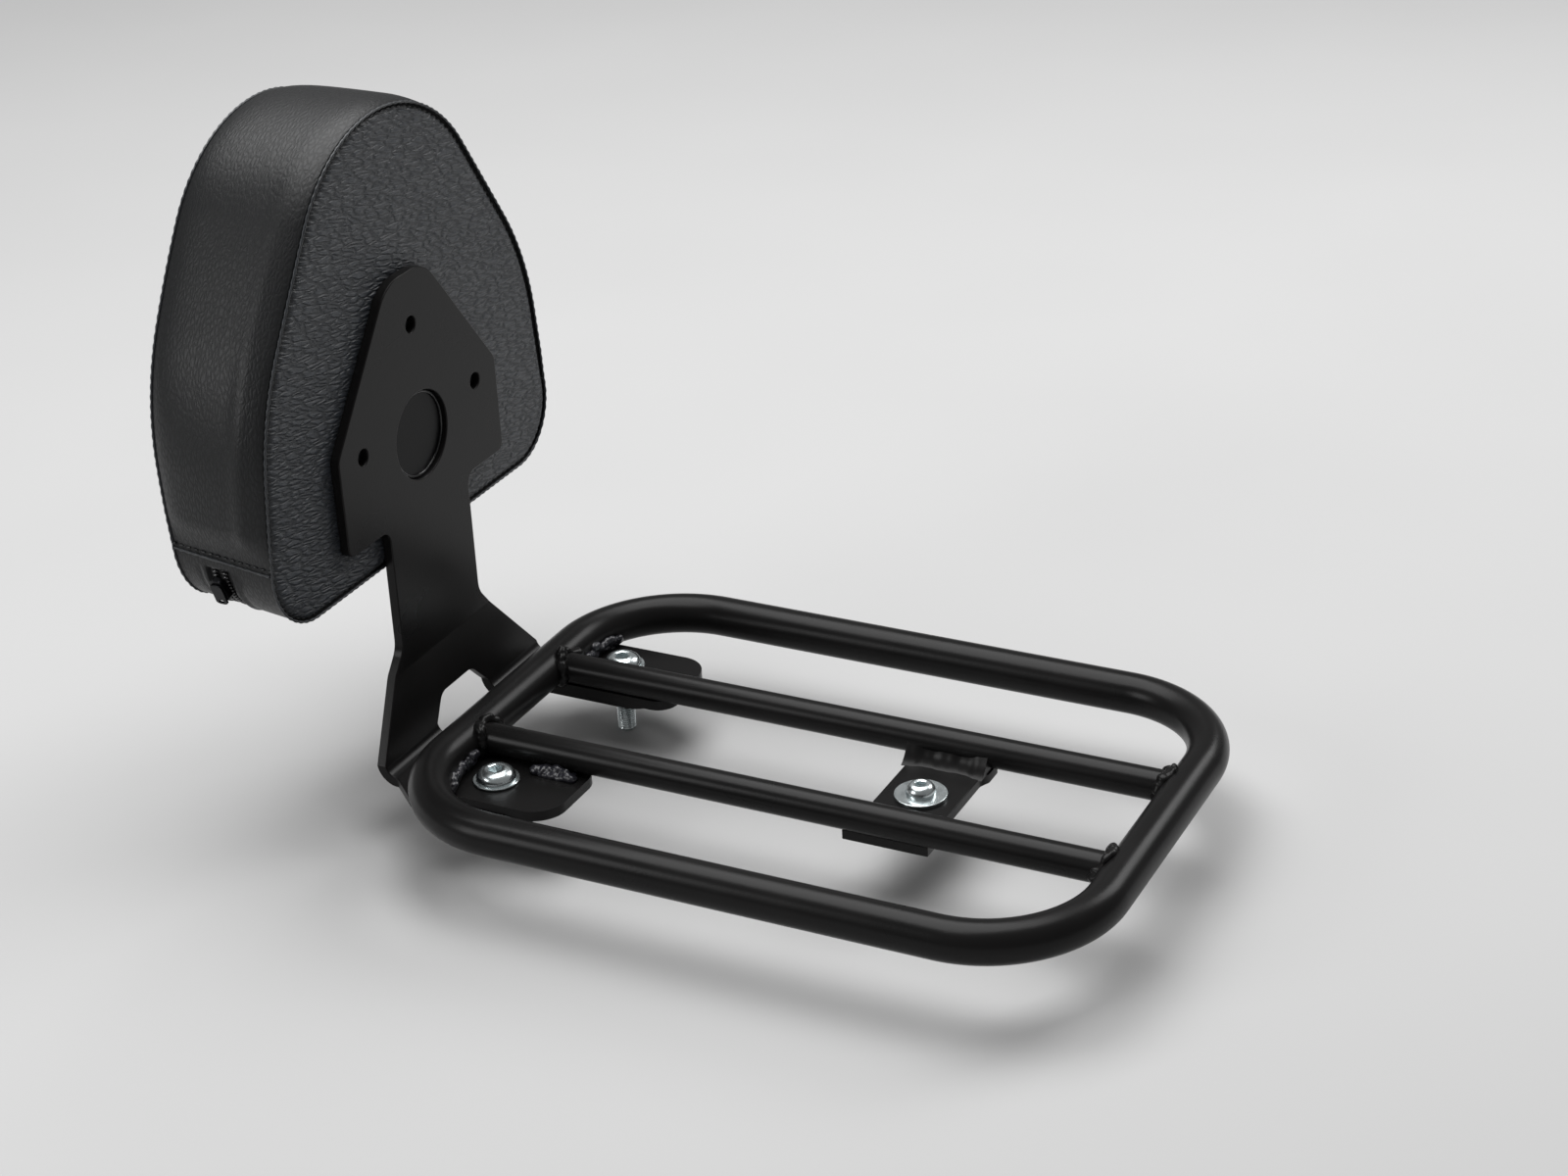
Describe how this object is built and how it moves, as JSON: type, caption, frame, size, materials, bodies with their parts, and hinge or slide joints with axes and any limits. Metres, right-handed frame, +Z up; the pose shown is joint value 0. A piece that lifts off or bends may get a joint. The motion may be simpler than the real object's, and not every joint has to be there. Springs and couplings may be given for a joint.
{
  "type": "motorcycle rider backrest with solo rack",
  "caption": "Padded rider backrest on a bent steel plate, bolted over a tubular solo luggage rack with two rails, cross strap and mounting plates.",
  "frame": {"origin": "midpoint between the two front bolts, on the underside of the backrest's feet", "axes": "+X to the rider's right, +Y forward, +Z up"},
  "size_m": [0.2, 0.367, 0.268],
  "materials": {
    "powder_coated_steel": "satin black powder coat",
    "coated_weld": "glossier black coat over weld beads",
    "zinc_plated_steel": "bright zinc plate",
    "black_cap": "gloss black with a polished rim",
    "plywood": "raw plywood",
    "moulded_foam": "open-cell foam",
    "grained_leatherette": "pebble grain, semi-matt",
    "smooth_leatherette": "fine grain, satin",
    "zip_fabric": "woven tape",
    "zip_nylon": "moulded nylon coil",
    "blackened_metal": "blackened die casting"
  },
  "bodies": {
    "root": {"rack_ring": "powder_coated_steel", "rack_bar_left": "powder_coated_steel", "rack_bar_right": "powder_coated_steel", "front_bracket_left": "powder_coated_steel", "front_bracket_right": "powder_coated_steel", "rear_strap": "powder_coated_steel", "backrest_bracket": "powder_coated_steel", "weld_bar_ends": "coated_weld", "weld_brackets": "coated_weld", "weld_strap": "coated_weld", "centre_cap": "black_cap", "pad_washer_top": "zinc_plated_steel", "pad_screw_top": "blackened_metal", "pad_washer_left": "zinc_plated_steel", "pad_screw_left": "blackened_metal", "pad_washer_right": "zinc_plated_steel", "pad_screw_right": "blackened_metal", "pad_board": "plywood", "pad_foam": "moulded_foam", "cover_rear_panel": "grained_leatherette", "cover_front_panel": "grained_leatherette", "cover_side_band": "smooth_leatherette", "zip_band_rear": "smooth_leatherette", "zip_band_front": "smooth_leatherette", "zip_tape": "zip_fabric", "zip_coil": "zip_nylon", "zip_slider": "blackened_metal", "zip_pull": "blackened_metal", "front_bolt_left": "zinc_plated_steel", "front_bolt_right": "zinc_plated_steel", "rear_washer": "zinc_plated_steel", "rear_bolt": "zinc_plated_steel"}
  },
  "joints": []
}
